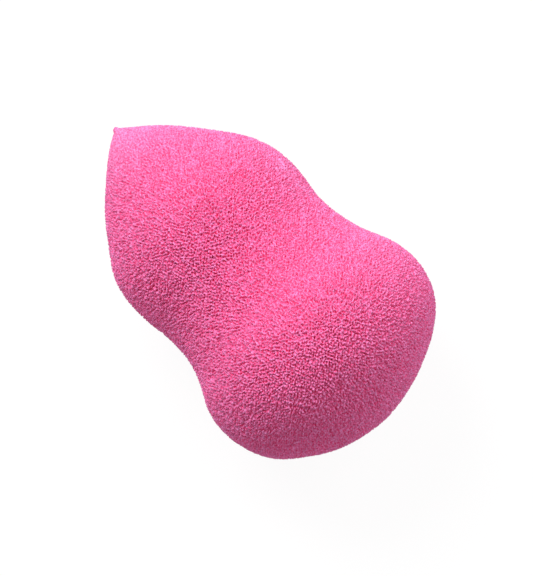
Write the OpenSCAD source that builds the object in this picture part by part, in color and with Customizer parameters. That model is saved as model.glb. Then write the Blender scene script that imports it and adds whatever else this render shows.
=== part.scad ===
// Makeup sponge: a single moulded piece of soft foam, a waisted gourd with a pointed tip.
// It lies on its side as it does on a table, with its tip towards +X, +Z up and the table at z = 0.
// Lengths are in millimetres. Heights run along the body, from its base to its tip.

/* [Lower bulb] */
// Overall length of the body, from its base to its tip
body_length = 61; // [56:0.5:75]
// Largest diameter, round the belly
belly_diameter = 39; // [34:0.5:46]
// Height of the widest ring of the belly
belly_height = 14.6; // [12.4:0.1:20]
// Radius of the rounded edge between the base and the belly
base_edge_radius = 11.6; // [8:0.1:13.6]

/* [Waist] */
// Diameter at the narrowest ring
waist_diameter = 31.2; // [26:0.1:32.2]
// Height of the narrowest ring
waist_height = 30.8; // [24:0.1:35]
// How much of the curve from belly to waist is hollow
hollow_below_share = 0.62; // [0.3:0.01:0.8]
// How much of the curve from waist to crown is hollow
hollow_above_share = 0.36; // [0.2:0.01:0.8]

/* [Upper bulb and tip] */
// Diameter of the upper bulb's widest ring, the crown
crown_diameter = 32.6; // [31.6:0.1:37]
// Height of the crown
crown_height = 38.2; // [34:0.1:43]
// Radius of the rounded shoulder above the crown
shoulder_radius = 14.6; // [10:0.1:16]
// Radius of the flank, which bulges gently from the shoulder to the tip
flank_radius = 50; // [32:1:150]
// Radius of the blunt tip
tip_radius = 0.4; // [0.2:0.1:3]

/* [Resting] */
// Depth to which the foam is pressed flat where it lies on the table
contact_depth = 0.5; // [0.2:0.1:1.5]

/* [Hidden] */
foam_colour = "#ed6ea4";
$fn = 144;

// How far a cutting shape runs past what it cuts
overrun = 1;

belly_radius = belly_diameter / 2;
waist_radius = waist_diameter / 2;
crown_radius = crown_diameter / 2;

// Point that lies a given distance from one point on the way to another
function towards(start, end, distance) =
    start + distance * (end - start) / norm(end - start);

// Total of the two radii of an S curve that joins two rings with upright tangents at both
function s_curve_radii(rise, step) =
    (rise ^ 2 + step ^ 2) / (2 * step);

// Centre of the arc of a given radius that wraps round two circles and touches both
function wrapping_centre(low, low_radius, high, high_radius, radius) =
    let (
        apart = norm(high - low),
        along = (high - low) / apart,
        low_reach = radius - low_radius,
        high_reach = radius - high_radius,
        advance = (apart ^ 2 + low_reach ^ 2 - high_reach ^ 2) / (2 * apart),
        sideways = sqrt(low_reach ^ 2 - advance ^ 2)
    )
    low + advance * along + sideways * [-along.y, along.x];

// The half section is a chain of tangent arcs, in [distance from the axis, height].
// Base: a shallow cap that meets the rounded edge
edge_centre = [belly_radius - base_edge_radius, belly_height];
base_radius = (edge_centre.x ^ 2 + edge_centre.y ^ 2 - base_edge_radius ^ 2)
    / (2 * (belly_height - base_edge_radius));
base_centre = [0, base_radius];
base_joint = towards(base_centre, edge_centre, base_radius);

// Belly to waist: a bulging arc and a hollow one
lower_radii = s_curve_radii(waist_height - belly_height, belly_radius - waist_radius);
lower_hollow_radius = lower_radii * hollow_below_share;
belly_side_radius = lower_radii - lower_hollow_radius;
belly_side_centre = [belly_radius - belly_side_radius, belly_height];
lower_hollow_centre = [waist_radius + lower_hollow_radius, waist_height];
lower_joint = towards(belly_side_centre, lower_hollow_centre, belly_side_radius);

// Waist to crown: a hollow arc and a bulging one
upper_radii = s_curve_radii(crown_height - waist_height, crown_radius - waist_radius);
upper_hollow_radius = upper_radii * hollow_above_share;
crown_side_radius = upper_radii - upper_hollow_radius;
upper_hollow_centre = [waist_radius + upper_hollow_radius, waist_height];
crown_side_centre = [crown_radius - crown_side_radius, crown_height];
upper_joint = towards(crown_side_centre, upper_hollow_centre, crown_side_radius);

// Crown to tip: the shoulder, the flank and the blunt tip
shoulder_centre = [crown_radius - shoulder_radius, crown_height];
tip_centre = [0, body_length - tip_radius];
flank_centre =
    wrapping_centre(shoulder_centre, shoulder_radius, tip_centre, tip_radius, flank_radius);
shoulder_joint = towards(flank_centre, shoulder_centre, flank_radius);
tip_joint = towards(flank_centre, tip_centre, flank_radius);

// Bulging arcs from base to tip, each as [centre, radius, lower height, upper height]
bulges = [
    [base_centre, base_radius, -overrun, base_joint.y],
    [edge_centre, base_edge_radius, base_joint.y, belly_height],
    [belly_side_centre, belly_side_radius, belly_height, lower_joint.y],
    [crown_side_centre, crown_side_radius, upper_joint.y, crown_height],
    [shoulder_centre, shoulder_radius, crown_height, shoulder_joint.y],
    [flank_centre, flank_radius, shoulder_joint.y, tip_joint.y],
    [tip_centre, tip_radius, tip_joint.y, body_length + overrun],
];

// Hollow arcs on both sides of the waist, each with the same four entries
hollows = [
    [lower_hollow_centre, lower_hollow_radius, lower_joint.y, waist_height],
    [upper_hollow_centre, upper_hollow_radius, waist_height, upper_joint.y],
];

// The body dips towards its tip until both bulbs touch the table
rest_step = belly_side_centre.x - shoulder_centre.x;
rest_span = crown_height - belly_height;
dip_angle = acos((shoulder_radius - belly_side_radius) / norm([rest_step, rest_span]))
    - atan2(rest_span, rest_step);
axis_height = belly_side_centre.x * cos(dip_angle)
    + belly_height * sin(dip_angle) + belly_side_radius - contact_depth;

// Places of the two ends along X before the body is centred
base_end = base_radius * (1 - cos(dip_angle));
tip_end = tip_centre.y * cos(dip_angle) + tip_radius;
middle = (base_end + tip_end) / 2;

// Strip of the half section between two heights, out to a given distance from the axis
module strip(low, high, width) {
    translate([0, low])
        square([width, high - low]);
}

// Strip whose outer edge is a bulging arc
module bulging_strip(centre, radius, low, high) {
    intersection() {
        strip(low, high, belly_radius + overrun);
        union() {
            translate(centre)
                circle(r = radius);
            if (centre.x > 0)
                strip(low, high, centre.x);
        }
    }
}

// Strip whose outer edge is a hollow arc
module hollow_strip(centre, radius, low, high) {
    difference() {
        strip(low, high, centre.x);
        translate(centre)
            circle(r = radius);
    }
}

// Half section of the body, from base to tip
module half_section() {
    for (arc = bulges)
        bulging_strip(arc[0], arc[1], arc[2], arc[3]);
    for (arc = hollows)
        hollow_strip(arc[0], arc[1], arc[2], arc[3]);
}

// Lays a body that stands on its base down on its side, centred over the origin
module lying_down() {
    translate([-middle, 0, axis_height])
        rotate([0, 90 + dip_angle, 0])
            children();
}

// The table's space, which the two bulbs are pressed flat against
module table_space() {
    translate([-body_length, -belly_diameter, -belly_diameter])
        cube([2 * body_length, 2 * belly_diameter, belly_diameter]);
}

// The whole sponge, in one piece
module foam_body() {
    color(foam_colour)
        difference() {
            lying_down()
                rotate_extrude()
                    half_section();
            table_space();
        }
}

foam_body();
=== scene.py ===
"""Makeup sponge: one moulded piece of fine soft foam, lying on a pale table.

Lengths are in metres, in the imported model's own frame: the pointed tip is towards +X, +Z is up and
the table is at z = 0. A height along the body runs from its base to its tip.
"""
import logging
import math
from dataclasses import dataclass
from enum import Enum

import bmesh
import bpy
import numpy as np
from mathutils import Matrix, Vector


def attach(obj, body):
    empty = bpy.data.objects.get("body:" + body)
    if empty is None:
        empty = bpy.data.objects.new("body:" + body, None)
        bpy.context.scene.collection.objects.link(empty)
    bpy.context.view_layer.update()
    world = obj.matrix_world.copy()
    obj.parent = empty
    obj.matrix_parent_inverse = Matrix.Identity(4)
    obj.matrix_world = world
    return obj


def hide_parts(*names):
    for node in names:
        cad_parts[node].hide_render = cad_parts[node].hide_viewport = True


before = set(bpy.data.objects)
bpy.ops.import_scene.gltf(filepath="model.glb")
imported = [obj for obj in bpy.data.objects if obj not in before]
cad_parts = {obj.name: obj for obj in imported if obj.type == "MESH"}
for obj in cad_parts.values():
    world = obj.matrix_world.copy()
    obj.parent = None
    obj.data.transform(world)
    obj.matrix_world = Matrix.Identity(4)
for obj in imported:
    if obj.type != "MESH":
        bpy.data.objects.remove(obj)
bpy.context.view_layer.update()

log = logging.getLogger("makeup_sponge")


@dataclass(frozen=True)
class Arc:
    """A round stretch of the outline, in the half plane [distance from the axis, height]."""

    centre: tuple[float, float]
    radius: float
    start: float
    end: float
    hollow: bool = False

    def sample(self, step: float) -> tuple[np.ndarray, np.ndarray]:
        """Walk along the arc.

        Args:
            step: Longest distance between two samples.

        Returns:
            The places on the arc, and the directions that point out of the foam there.
        """
        count = math.ceil(abs(self.end - self.start) * self.radius / step)
        angles = np.linspace(self.start, self.end, count + 1)
        spokes = np.stack([np.cos(angles), np.sin(angles)], axis=1)
        return np.array(self.centre) + self.radius * spokes, -spokes if self.hollow else spokes


@dataclass(frozen=True)
class Meridian:
    """The outline walked from base to tip, one row for each sample."""

    share: np.ndarray
    places: np.ndarray
    outward: np.ndarray

    def at(self, share: np.ndarray) -> tuple[np.ndarray, np.ndarray]:
        """Look up places on the outline.

        Args:
            share: Shares of the way from the base to the tip.

        Returns:
            The places as [distance from the axis, height], and the outward directions.
        """
        columns = (self.places[:, 0], self.places[:, 1], self.outward[:, 0], self.outward[:, 1])
        found = [np.interp(share, self.share, column) for column in columns]
        return np.stack(found[:2], axis=1), np.stack(found[2:], axis=1)


@dataclass(frozen=True)
class Outline:
    """Half section of the sponge: a chain of tangent arcs from the base to the tip."""

    body_length: float = 0.061
    belly_diameter: float = 0.039
    belly_height: float = 0.0146
    base_edge_radius: float = 0.0116
    waist_diameter: float = 0.0312
    waist_height: float = 0.0308
    hollow_below_share: float = 0.62
    hollow_above_share: float = 0.36
    crown_diameter: float = 0.0326
    crown_height: float = 0.0382
    shoulder_radius: float = 0.0146
    flank_radius: float = 0.050
    tip_radius: float = 0.0004
    sample_step: float = 0.00002

    @staticmethod
    def _bearing(start: tuple[float, float], end: tuple[float, float]) -> float:
        """Direction from one point of the half plane to another, in radians."""
        return math.atan2(end[1] - start[1], end[0] - start[0])

    @staticmethod
    def _s_curve_radii(rise: float, step: float) -> float:
        """Total of the two radii of an S curve that starts and ends upright."""
        return (rise**2 + step**2) / (2 * step)

    def _wrapping_centre(
        self, low: tuple[float, float], low_radius: float, high: tuple[float, float], high_radius: float
    ) -> tuple[float, float]:
        """Find the flank's centre, whose arc wraps round the shoulder and the tip.

        Args:
            low: Centre of the lower circle.
            low_radius: Radius of the lower circle.
            high: Centre of the upper circle.
            high_radius: Radius of the upper circle.

        Returns:
            The centre of the arc that touches both circles from outside.
        """
        apart = math.dist(low, high)
        along = ((high[0] - low[0]) / apart, (high[1] - low[1]) / apart)
        low_reach = self.flank_radius - low_radius
        high_reach = self.flank_radius - high_radius
        advance = (apart**2 + low_reach**2 - high_reach**2) / (2 * apart)
        sideways = math.sqrt(low_reach**2 - advance**2)
        return (
            low[0] + advance * along[0] - sideways * along[1],
            low[1] + advance * along[1] + sideways * along[0],
        )

    @property
    def belly_side(self) -> tuple[tuple[float, float], float]:
        """Bulging arc that runs from the belly up to the waist.

        Returns:
            Its centre and its radius.
        """
        radii = self._s_curve_radii(
            self.waist_height - self.belly_height, (self.belly_diameter - self.waist_diameter) / 2
        )
        radius = radii * (1 - self.hollow_below_share)
        return (self.belly_diameter / 2 - radius, self.belly_height), radius

    @property
    def crown_side(self) -> tuple[tuple[float, float], float]:
        """Bulging arc that runs from the waist up to the crown.

        Returns:
            Its centre and its radius.
        """
        radii = self._s_curve_radii(
            self.crown_height - self.waist_height, (self.crown_diameter - self.waist_diameter) / 2
        )
        radius = radii * (1 - self.hollow_above_share)
        return (self.crown_diameter / 2 - radius, self.crown_height), radius

    @property
    def shoulder_centre(self) -> tuple[float, float]:
        """Centre of the rounded shoulder."""
        return self.crown_diameter / 2 - self.shoulder_radius, self.crown_height

    @property
    def base_radius(self) -> float:
        """Fit the shallow cap that closes the base to its rounded edge.

        Returns:
            The cap's radius.
        """
        reach = self.belly_diameter / 2 - self.base_edge_radius
        rise = self.belly_height
        return (reach**2 + rise**2 - self.base_edge_radius**2) / (2 * (rise - self.base_edge_radius))

    def arcs(self) -> list[Arc]:
        """Work out the nine arcs from the sizes.

        Returns:
            The arcs in order: base, edge, belly, two hollows, crown, shoulder, flank and tip.
        """
        quarter = math.pi / 2
        half_turn = math.pi
        base_centre = (0.0, self.base_radius)
        edge_centre = (self.belly_diameter / 2 - self.base_edge_radius, self.belly_height)
        belly_centre, belly_radius = self.belly_side
        crown_centre, crown_radius = self.crown_side
        lower_hollow = belly_radius * self.hollow_below_share / (1 - self.hollow_below_share)
        upper_hollow = crown_radius * self.hollow_above_share / (1 - self.hollow_above_share)
        lower_centre = (self.waist_diameter / 2 + lower_hollow, self.waist_height)
        upper_centre = (self.waist_diameter / 2 + upper_hollow, self.waist_height)
        tip_centre = (0.0, self.body_length - self.tip_radius)
        flank_centre = self._wrapping_centre(
            self.shoulder_centre, self.shoulder_radius, tip_centre, self.tip_radius
        )
        base_joint = self._bearing(base_centre, edge_centre)
        lower_joint = self._bearing(belly_centre, lower_centre)
        upper_joint = self._bearing(crown_centre, upper_centre)
        shoulder_joint = self._bearing(flank_centre, self.shoulder_centre)
        tip_joint = self._bearing(flank_centre, tip_centre)
        return [
            Arc(base_centre, self.base_radius, -quarter, base_joint),
            Arc(edge_centre, self.base_edge_radius, base_joint, 0.0),
            Arc(belly_centre, belly_radius, 0.0, lower_joint),
            Arc(lower_centre, lower_hollow, lower_joint + half_turn, half_turn, hollow=True),
            Arc(upper_centre, upper_hollow, half_turn, upper_joint + half_turn, hollow=True),
            Arc(crown_centre, crown_radius, upper_joint, 0.0),
            Arc(self.shoulder_centre, self.shoulder_radius, 0.0, shoulder_joint),
            Arc(flank_centre, self.flank_radius, shoulder_joint, tip_joint),
            Arc(tip_centre, self.tip_radius, tip_joint, quarter),
        ]

    def meridian(self) -> Meridian:
        """Join the arcs' samples into one table.

        Returns:
            The outline, walked from base to tip.
        """
        sampled = [arc.sample(self.sample_step) for arc in self.arcs()]
        places = np.concatenate([places for places, _ in sampled])
        outward = np.concatenate([outward for _, outward in sampled])
        steps = np.linalg.norm(np.diff(places, axis=0), axis=1)
        walked = np.concatenate([[0.0], np.cumsum(steps)])
        return Meridian(walked / walked[-1], places, outward)


@dataclass(frozen=True)
class LyingPose:
    """How the sponge lies: on its side, dipped towards its tip until both bulbs touch the table."""

    outline: Outline
    contact_depth: float = 0.0005

    @property
    def dip_angle(self) -> float:
        """Find how far the body dips until both bulbs touch the table.

        Returns:
            The angle between the body's axis and the table, in radians.
        """
        belly_centre, belly_radius = self.outline.belly_side
        shoulder_centre = self.outline.shoulder_centre
        span = self.outline.crown_height - self.outline.belly_height
        step = belly_centre[0] - shoulder_centre[0]
        lift = (self.outline.shoulder_radius - belly_radius) / math.hypot(step, span)
        return math.acos(lift) - math.atan2(span, step)

    @property
    def axis_height(self) -> float:
        """Find how high the body lies, with the foam pressed flat below it.

        Returns:
            The height of the axis above the table at the base.
        """
        belly_centre, belly_radius = self.outline.belly_side
        touching = belly_centre[0] * math.cos(self.dip_angle) + self.outline.belly_height * math.sin(
            self.dip_angle
        )
        return touching + belly_radius - self.contact_depth

    @property
    def middle(self) -> float:
        """Find the middle of the lying body.

        Returns:
            Its distance along X from the base's place on the axis.
        """
        base_end = self.outline.base_radius * (1 - math.cos(self.dip_angle))
        tip_end = (self.outline.body_length - self.outline.tip_radius) * math.cos(
            self.dip_angle
        ) + self.outline.tip_radius
        return (base_end + tip_end) / 2

    @property
    def turn(self) -> np.ndarray:
        """Work out how the body is laid down.

        Returns:
            The rows that turn [upward, sideways, along the body] into [x, y, z].
        """
        dip = self.dip_angle
        return np.array(
            [
                [math.sin(dip), 0.0, math.cos(dip)],
                [0.0, 1.0, 0.0],
                [math.cos(dip), 0.0, -math.sin(dip)],
            ]
        )

    def place(self, upright: np.ndarray) -> np.ndarray:
        """Lay points down: [upward, sideways, along the body] become [x, y, z]."""
        return upright @ self.turn.T + np.array([-self.middle, 0.0, self.axis_height])


@dataclass(frozen=True)
class Ripple:
    """An even random field: a sum of plane waves whose lengths lie round one spacing."""

    spacing: float
    spread_share: float
    waves: int
    seed: int

    def at(self, places: np.ndarray) -> np.ndarray:
        """Value of the field, with mean 0 and deviation 1, at each place.

        Args:
            places: One row of [x, y, z] for each place.

        Returns:
            One value for each place.
        """
        draws = np.random.default_rng(self.seed)
        directions = draws.normal(size=(self.waves, 3))
        directions /= np.linalg.norm(directions, axis=1, keepdims=True)
        lengths = self.spacing * np.exp(draws.normal(scale=self.spread_share, size=self.waves))
        phases = draws.uniform(0, 2 * math.pi, size=self.waves)
        total = np.zeros(len(places), np.float32)
        for direction, length, phase in zip(directions, lengths, phases):
            total += np.cos(places @ (direction * 2 * math.pi / length) + phase).astype(np.float32)
        return total * math.sqrt(2 / self.waves)


def smooth_step(values: np.ndarray, low: float, high: float) -> np.ndarray:
    """Rise smoothly from 0 to 1, with level ends."""
    share = np.clip((values - low) / (high - low), 0.0, 1.0)
    return share * share * (3 - 2 * share)


@dataclass(frozen=True)
class PoreRelief:
    """Open cells of the foam's surface: pits that run into one another, between thin struts."""

    cells: Ripple = Ripple(spacing=0.00038, spread_share=0.18, waves=220, seed=31)
    depth: float = 0.00070
    strut_level: float = -1.5
    pit_level: float = 2.0
    lift: float = 0.00010

    def pits(self, places: np.ndarray) -> np.ndarray:
        """How deep each place lies in the pits, from 0 on a strut to 1 at their bottom; the colour's
        painted shade follows it.
        """
        level = self.cells.at(places)
        return np.clip((level - self.strut_level) / (self.pit_level - self.strut_level), 0.0, 1.0)


@dataclass(frozen=True)
class Scuff:
    """A short scratch on the upper side, where the foam is rubbed flat and pale."""

    start: tuple[float, float]
    end: tuple[float, float]
    half_width: float = 0.00014
    lowest: float = 0.012

    def rubbed(self, places: np.ndarray) -> np.ndarray:
        """How rubbed each place is, from 0 beside the scratch to 1 along its middle.

        Args:
            places: One row of [x, y, z] for each place.

        Returns:
            One value for each place.
        """
        start = np.array(self.start)
        run = np.array(self.end) - start
        offset = places[:, :2] - start
        along = np.clip(offset @ run / (run @ run), 0.0, 1.0)
        away = np.linalg.norm(offset - along[:, None] * run, axis=1)
        return (1 - smooth_step(away, 0.0, self.half_width)) * (places[:, 2] > self.lowest)


@dataclass
class FoamBody:
    """The sponge itself, in one piece."""

    name: str = "foam_skin"
    node: str = "foam_body"
    body: str = "root"
    slot: str = "foam"
    fill: float = 0.9
    outline: Outline = Outline()
    cells_across_patch: int = 384
    quick_cells_across_patch: int = 256
    relief: PoreRelief = PoreRelief()
    swell: Ripple = Ripple(spacing=0.014, spread_share=0.3, waves=40, seed=21)
    swell_height: float = 0.00005
    sway_heights: tuple[float, ...] = (
        0.0, 0.0015, 0.0040, 0.0120, 0.0200, 0.0265, 0.0360, 0.0510, 0.0595, 0.0610
    )
    sway_steps: tuple[float, ...] = (
        0.0008, 0.0004, -0.0002, -0.0002, 0.0, -0.0001, 0.0001, 0.0001, -0.00014, -0.00042
    )
    nib_radius: float = 0.00060
    nib_height: float = 0.00030
    calm_height: float = 0.0500
    calm_share: float = 0.80
    scuffs: tuple[Scuff, ...] = (
        Scuff((0.00798, -0.01384), (0.00732, -0.01372)),
        Scuff((0.00832, -0.01446), (0.00690, -0.01470)),
        Scuff((0.00892, -0.01516), (0.00738, -0.01500)),
        Scuff((0.00421, -0.01442), (0.00251, -0.01467)),
        Scuff((0.02158, -0.00433), (0.02035, -0.00472)),
    )
    map_margin: float = 0.004

    def _block(self) -> bpy.types.Mesh:
        """Divide a cube finely and evenly, into six square patches with no pole and no seam.

        Returns:
            The cube's mesh, 2 m across.
        """
        cells = self.cells_across_patch
        shape = bmesh.new()
        bmesh.ops.create_cube(shape, size=2.0)
        bmesh.ops.subdivide_edges(shape, edges=shape.edges[:], cuts=cells - 1, use_grid_fill=True)
        bmesh.ops.recalc_face_normals(shape, faces=shape.faces[:])
        mesh = bpy.data.meshes.new(self.name)
        shape.to_mesh(mesh)
        shape.free()
        return mesh

    def _map(self, mesh: bpy.types.Mesh, block: np.ndarray) -> None:
        """Lay the six patches side by side on the piece's own map, two across and three up.

        Args:
            mesh: The mesh, whose faces are squares.
            block: Places of its vertices on the cube, from -1 to 1.
        """
        corners = np.zeros(len(mesh.loops), np.int32)
        mesh.loops.foreach_get("vertex_index", corners)
        squares = block[corners].reshape(-1, 4, 3)
        centres = squares.mean(axis=1)
        axis = np.abs(centres).argmax(axis=1)
        positive = np.take_along_axis(centres, axis[:, None], axis=1)[:, 0] > 0
        across = np.take_along_axis(squares, ((axis + 1) % 3)[:, None, None], axis=2)[..., 0]
        upward = np.take_along_axis(squares, ((axis + 2) % 3)[:, None, None], axis=2)[..., 0]
        across = np.where(positive[:, None], across, -across)
        inner = 1 - 2 * self.map_margin
        chart = np.stack([across, upward], axis=2) * inner / 2 + 0.5
        chart[..., 0] = (chart[..., 0] + positive[:, None]) / 2
        chart[..., 1] = (chart[..., 1] + axis[:, None]) / 3
        layer = mesh.uv_layers.new(name="OFBake")
        layer.data.foreach_set("uv", chart.astype(np.float32).ravel())

    def _ground(self, block: np.ndarray) -> tuple[np.ndarray, np.ndarray, np.ndarray]:
        """Draw the block out to the lying gourd, still without pores.

        Args:
            block: Places on the cube, from -1 to 1.

        Returns:
            The places on the foam, the directions that point out of it there, and how open its
            pores are, which close towards the tip.
        """
        ball = np.tan(block * math.pi / 4)
        ball /= np.linalg.norm(ball, axis=1, keepdims=True)
        round_axis = ball[:, :2] / np.maximum(np.linalg.norm(ball[:, :2], axis=1, keepdims=True), 1e-9)
        share = np.arccos(np.clip(-ball[:, 2], -1.0, 1.0)) / math.pi
        section, facing = self.outline.meridian().at(share)
        upright = np.column_stack([section[:, :1] * round_axis, section[:, 1]])
        outward = np.column_stack([facing[:, :1] * round_axis, facing[:, 1]])

        upright[:, 1] += np.interp(section[:, 1], self.sway_heights, self.sway_steps)
        nib = 1 - smooth_step(section[:, 0], self.nib_radius / 2, self.nib_radius)
        upright[:, 2] += nib * (section[:, 1] > self.outline.waist_height) * self.nib_height

        pose = LyingPose(self.outline)
        places = pose.place(upright)
        normals = outward @ pose.turn.T
        places += self.swell.at(places)[:, None] * self.swell_height * normals
        pressed = places[:, 2] < 0
        normals[pressed] = (0.0, 0.0, -1.0)
        places[:, 2] = np.maximum(places[:, 2], 0.0)
        calm = self.calm_share * smooth_step(section[:, 1], self.calm_height, self.outline.body_length)
        return places, normals, 1 - calm

    def build(self) -> bpy.types.Object:
        """Make the foam's mesh, with its pores, its map and the attribute that its colour follows for the
        painted shade in the pits and the pale scuffs.

        Returns:
            The piece.
        """
        mesh = self._block()
        block = np.zeros(len(mesh.vertices) * 3, np.float32)
        mesh.vertices.foreach_get("co", block)
        block = block.reshape(-1, 3).astype(np.float64)
        self._map(mesh, block)
        places, normals, opening = self._ground(block)
        rubbed = np.max([scuff.rubbed(places) for scuff in self.scuffs], axis=0)
        pits = self.relief.pits(places) * opening * (1 - rubbed)
        places += (self.relief.lift - pits * self.relief.depth)[:, None] * normals
        places[:, 2] = np.maximum(places[:, 2], 0.0)
        mesh.vertices.foreach_set("co", places.astype(np.float32).ravel())
        # The colour follows these values: painted shade deepens down each pit, and the scuffs' negative
        # values keep them pale.
        depths = (pits - rubbed).astype(np.float32)
        mesh.attributes.new("pore", "FLOAT", "POINT").data.foreach_set("value", depths)
        mesh.polygons.foreach_set("use_smooth", np.ones(len(mesh.polygons), bool))
        mesh.update()
        piece = bpy.data.objects.new(self.name, mesh)
        bpy.context.scene.collection.objects.link(piece)
        return piece

    def dress(self, piece: bpy.types.Object, material: bpy.types.Material) -> None:
        """Give the foam its material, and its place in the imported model.

        Args:
            piece: The foam's piece.
            material: The foam's finish.
        """
        piece.data.materials.append(material)
        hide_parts(self.node)
        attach(piece, self.body)


class Board:
    """The node tree of a material or of the world, with short ways to add and join nodes."""

    def __init__(self, owner: bpy.types.Material | bpy.types.World) -> None:
        """Empty the owner's tree.

        Args:
            owner: The material or world to write.
        """
        owner.use_nodes = True
        self.tree = owner.node_tree
        self.tree.nodes.clear()

    def add(
        self, kind: str, inputs: dict[str | int, object] | None = None, **settings: object
    ) -> bpy.types.Node:
        """Add a node.

        Args:
            kind: The node's type.
            inputs: Values or other nodes' outputs, by the name or number of the input.
            settings: The node's own settings.

        Returns:
            The new node.
        """
        node = self.tree.nodes.new(kind)
        for setting, value in settings.items():
            setattr(node, setting, value)
        for key, value in (inputs or {}).items():
            if isinstance(value, bpy.types.NodeSocket):
                self.tree.links.new(value, node.inputs[key])
            else:
                node.inputs[key].default_value = value
        return node

    def mix(self, share: object, first: object, second: object) -> bpy.types.NodeSocket:
        """Mix two colours.

        Args:
            share: How much of the second colour there is, as a number or an output.
            first: Colour or output at share 0.
            second: Colour or output at share 1.

        Returns:
            The mixed colour.
        """
        node = self.add("ShaderNodeMix", {0: share, 6: first, 7: second}, data_type="RGBA")
        return node.outputs[2]


@dataclass(frozen=True)
class FoamFinish:
    """Dyed open-celled foam: pale struts, with painted shade in the pits, a darker crimson that deepens
    with a pit's depth, and a random speckle of finer cells painted in that same shade.
    """

    name: str = "dyed_foam"
    strut: tuple[float, float, float, float] = (0.99, 0.33, 0.68, 1.0)
    # Painted shade: the darker crimson that stands for the shade down the pits and in the speckle's finer
    # cells.
    pit_shade: tuple[float, float, float, float] = (0.88, 0.01, 0.14, 1.0)
    speckle_size: float = 0.00030
    speckle_share: float = 0.6
    speckle_middle: float = 0.25
    speckle_edge: float = 0.75
    roughness: float = 0.9
    specular: float = 0.0
    sheen: float = 0.1
    sheen_roughness: float = 0.5
    sheen_tint: tuple[float, float, float, float] = (1.0, 0.86, 0.92, 1.0)
    grain_size: float = 0.00016
    grain_detail: float = 2.0
    grain_height: float = 0.00003

    def material(self) -> bpy.types.Material:
        """Build the finish's node tree.

        Returns:
            The material.
        """
        made = bpy.data.materials.new(self.name)
        board = Board(made)
        # The pore attribute sets the painted shade in the pits and keeps the scuffs pale.
        pore = board.add("ShaderNodeAttribute", attribute_name="pore", attribute_type="GEOMETRY")
        place = board.add("ShaderNodeTexCoord").outputs["Object"]
        grain = board.add(
            "ShaderNodeTexNoise",
            {"Vector": place, "Scale": 1 / self.grain_size, "Detail": self.grain_detail},
        )
        speckle = board.add("ShaderNodeTexVoronoi", {"Vector": place, "Scale": 1 / self.speckle_size})
        dot = board.add(
            "ShaderNodeMapRange",
            {
                "Value": speckle.outputs["Distance"],
                "From Min": self.speckle_middle,
                "From Max": self.speckle_edge,
                "To Min": 1.0,
                "To Max": 0.0,
            },
        )
        # Painted shade: the colour goes from the strut colour to the pit shade with a pit's depth, mixed
        # with a random speckle of finer cells.
        depth = board.add(
            "ShaderNodeMix",
            {0: self.speckle_share, 2: pore.outputs["Fac"], 3: dot.outputs["Result"]},
            data_type="FLOAT",
        )
        colour = board.mix(depth.outputs[0], self.strut, self.pit_shade)
        bump = board.add(
            "ShaderNodeBump",
            {"Strength": 1.0, "Distance": self.grain_height, "Height": grain.outputs["Fac"]},
        )
        foam = board.add(
            "ShaderNodeBsdfPrincipled",
            {
                "Base Color": colour,
                "Roughness": self.roughness,
                "Specular IOR Level": self.specular,
                "Normal": bump.outputs["Normal"],
                "Sheen Weight": self.sheen,
                "Sheen Roughness": self.sheen_roughness,
                "Sheen Tint": self.sheen_tint,
            },
        )
        board.add("ShaderNodeOutputMaterial", {"Surface": foam.outputs["BSDF"]})
        return made


@dataclass(frozen=True)
class TableFinish:
    """Plain pale table that shows white, with the object's faint shadow on it."""

    name: str = "table"
    paint: tuple[float, float, float, float] = (0.95, 0.95, 0.95, 1.0)
    shown_paint: tuple[float, float, float, float] = (0.10, 0.10, 0.10, 1.0)
    shown_glow: float = 0.93

    def material(self) -> bpy.types.Material:
        """Build the finish's node tree.

        Returns:
            The material.
        """
        made = bpy.data.materials.new(self.name)
        board = Board(made)
        paint = board.add("ShaderNodeBsdfDiffuse", {"Color": self.paint})
        shown_paint = board.add("ShaderNodeBsdfDiffuse", {"Color": self.shown_paint})
        glow = board.add("ShaderNodeEmission", {"Strength": self.shown_glow})
        shown = board.add("ShaderNodeAddShader", {0: shown_paint.outputs[0], 1: glow.outputs[0]})
        seen = seen_directly(board)
        mixed = board.add("ShaderNodeMixShader", {0: seen, 1: paint.outputs[0], 2: shown.outputs[0]})
        board.add("ShaderNodeOutputMaterial", {"Surface": mixed.outputs[0]})
        return made


def seen_directly(board: Board) -> bpy.types.NodeSocket:
    """Tell rays that show a surface from rays that only light others.

    Args:
        board: The board to add the nodes to.

    Returns:
        An output that is 1 for camera, glossy and transmission rays, and otherwise 0.
    """
    path = board.add("ShaderNodeLightPath")
    mirrored = board.add(
        "ShaderNodeMath",
        {0: path.outputs["Is Glossy Ray"], 1: path.outputs["Is Transmission Ray"]},
        operation="MAXIMUM",
    )
    return board.add(
        "ShaderNodeMath",
        {0: path.outputs["Is Camera Ray"], 1: mirrored.outputs[0]},
        operation="MAXIMUM",
    ).outputs[0]


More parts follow.
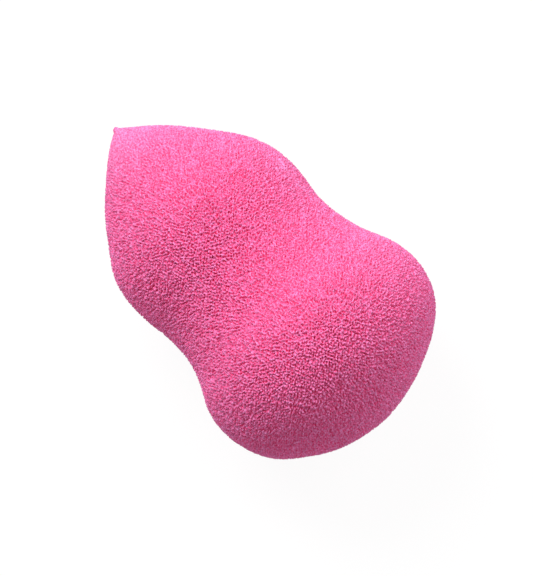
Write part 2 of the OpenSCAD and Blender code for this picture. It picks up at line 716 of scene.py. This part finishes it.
@dataclass(frozen=True)
class ViewPoint:
    """Where the camera stands: almost straight above, with the tip towards the upper left."""

    aim: tuple[float, float, float] = (-0.0039, -0.0003, 0.020)
    lean: float = math.radians(2.6)
    turn: float = math.radians(-43.7)
    distance: float = 0.4837
    lens: float = 200.0
    clip_ratio: float = 100.0

    def toward(self) -> Vector:
        """Direction from the sponge to the camera."""
        return Vector((-math.sin(self.lean), 0.0, math.cos(self.lean)))

    def axes(self) -> Matrix:
        """Work out the picture's own directions.

        Returns:
            Its right, up and outward directions, as a matrix's columns.
        """
        outward = self.toward()
        upward = Vector((math.cos(self.turn), math.sin(self.turn), 0.0))
        upward = (upward - upward.dot(outward) * outward).normalized()
        return Matrix((upward.cross(outward), upward, outward)).transposed()

    def direction(self, clock: float, height: float) -> Vector:
        """Direction of a lamp as the picture has it.

        Args:
            clock: Angle round the picture from its right, against the clock, in radians.
            height: Angle from the picture's plane towards the camera, in radians.

        Returns:
            The direction from the sponge to the lamp.
        """
        flat = math.cos(height)
        return self.axes() @ Vector((flat * math.cos(clock), flat * math.sin(clock), math.sin(height)))

    def build(self) -> bpy.types.Object:
        """Make the camera and give it to the scene.

        Returns:
            The camera.
        """
        lens = bpy.data.cameras.new("camera")
        lens.lens = self.lens
        lens.clip_start = self.distance / self.clip_ratio
        lens.clip_end = self.distance * self.clip_ratio
        camera = bpy.data.objects.new("camera", lens)
        place = Vector(self.aim) + self.toward() * self.distance
        camera.matrix_world = Matrix.Translation(place) @ self.axes().to_4x4()
        bpy.context.scene.collection.objects.link(camera)
        bpy.context.scene.camera = camera
        return camera


class Lamp(Enum):
    """The studio's lamps, each as clock angle, height, distance, width and brightness.

    Both angles are in degrees, as the picture has them. A brightness of 1 lights a white card that
    faces the lamp to plain white.
    """

    KEY = (122.0, 44.0, 0.60, 0.36, 0.84)
    SIDE = (42.0, 38.0, 0.60, 0.36, 0.35)
    FILL = (285.0, 8.0, 0.60, 0.36, 0.12)

    def build(self, view: ViewPoint) -> bpy.types.Object:
        """Hang the lamp and turn it to the sponge.

        Args:
            view: The camera's place, which the angles are measured from.

        Returns:
            The lamp.
        """
        clock, height, distance, width, brightness = self.value
        light = bpy.data.lights.new(self.name.lower(), "AREA")
        light.shape = "DISK"
        light.size = width
        light.energy = brightness * (math.pi * distance) ** 2
        lamp = bpy.data.objects.new(self.name.lower(), light)
        away = view.direction(math.radians(clock), math.radians(height))
        turned = away.to_track_quat("Z", "Y").to_matrix().to_4x4()
        lamp.matrix_world = Matrix.Translation(Vector(view.aim) + away * distance) @ turned
        bpy.context.scene.collection.objects.link(lamp)
        return lamp


@dataclass
class Studio:
    """The pale table, the soft light all round and the lamps."""

    table_radius: float = 1.2
    table_sides: int = 96
    table_drop: float = 0.00002
    surround: tuple[float, float, float, float] = (1.0, 1.0, 1.0, 1.0)
    surround_light: float = 0.28

    def build_table(self, material: bpy.types.Material) -> bpy.types.Object:
        """Lay the table just under the sponge.

        Args:
            material: The table's finish.

        Returns:
            The table.
        """
        shape = bmesh.new()
        bmesh.ops.create_circle(shape, cap_ends=True, segments=self.table_sides, radius=self.table_radius)
        bmesh.ops.translate(shape, verts=shape.verts[:], vec=(0.0, 0.0, -self.table_drop))
        mesh = bpy.data.meshes.new("table")
        shape.to_mesh(mesh)
        shape.free()
        table = bpy.data.objects.new("table", mesh)
        table.data.materials.append(material)
        bpy.context.scene.collection.objects.link(table)
        return table

    def build_surround(self) -> bpy.types.World:
        """Light the scene softly from all round, in front of plain white.

        Returns:
            The world.
        """
        world = bpy.data.worlds.new("surround")
        board = Board(world)
        seen = seen_directly(board)
        white = board.add("ShaderNodeBackground", {"Color": self.surround, "Strength": 1.0})
        soft = board.add("ShaderNodeBackground", {"Color": self.surround, "Strength": self.surround_light})
        mixed = board.add("ShaderNodeMixShader", {0: seen, 1: soft.outputs[0], 2: white.outputs[0]})
        board.add("ShaderNodeOutputWorld", {"Surface": mixed.outputs[0]})
        bpy.context.scene.world = world
        return world


def main() -> None:
    """Build the sponge, its table, its light and the camera."""
    logging.basicConfig(level=logging.INFO, format="%(message)s")
    bpy.context.scene.view_settings.view_transform = "Standard"

    foam = FoamBody()
    skin = foam.build()
    foam.dress(skin, FoamFinish().material())
    log.info("%s: %d vertices, %d faces", skin.name, len(skin.data.vertices), len(skin.data.polygons))

    studio = Studio()
    table = studio.build_table(TableFinish().material())
    studio.build_surround()
    log.info("%s: radius %.2f m", table.name, studio.table_radius)

    view = ViewPoint()
    view.build()
    for lamp in Lamp:
        lamp.build(view)
        log.info("%s lamp in place", lamp.name.lower())


if __name__ == "__main__":
    main()
